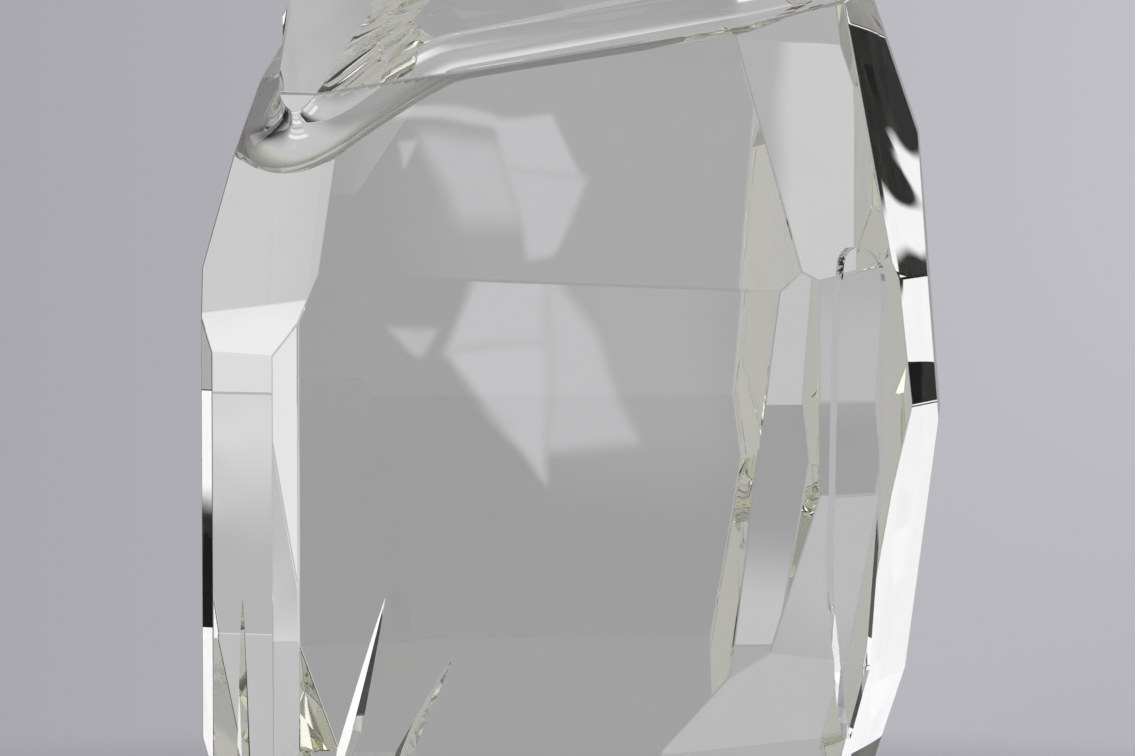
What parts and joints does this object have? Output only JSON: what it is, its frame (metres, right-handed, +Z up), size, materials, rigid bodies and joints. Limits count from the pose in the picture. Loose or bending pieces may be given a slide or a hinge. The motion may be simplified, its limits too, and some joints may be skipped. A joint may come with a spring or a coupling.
{
  "type": "crystal owl sculpture",
  "caption": "Free-standing owl ornament in clear faceted crystal, with a bonded head, wings, tail, feet, ear tufts, beak and domed eyes, for a shelf or table.",
  "frame": {"origin": "on the resting surface, under the middle of the owl's overall box", "axes": "+Z up, the owl looks along -Y, its left side is +X"},
  "size_m": [0.1194, 0.1272, 0.2042],
  "materials": {
    "crystal": "clear lead crystal, wheel-cut facets polished bright",
    "jet": "opaque black glass, polished"
  },
  "bodies": {
    "root": {"torso": "crystal", "head": "crystal", "beak": "crystal", "tail": "crystal", "left_wing": "crystal", "right_wing": "crystal", "left_foot": "crystal", "right_foot": "crystal", "left_ear_tuft": "crystal", "right_ear_tuft": "crystal", "left_eye_lens": "crystal", "right_eye_lens": "crystal", "left_pupil": "jet", "right_pupil": "jet"}
  },
  "joints": []
}
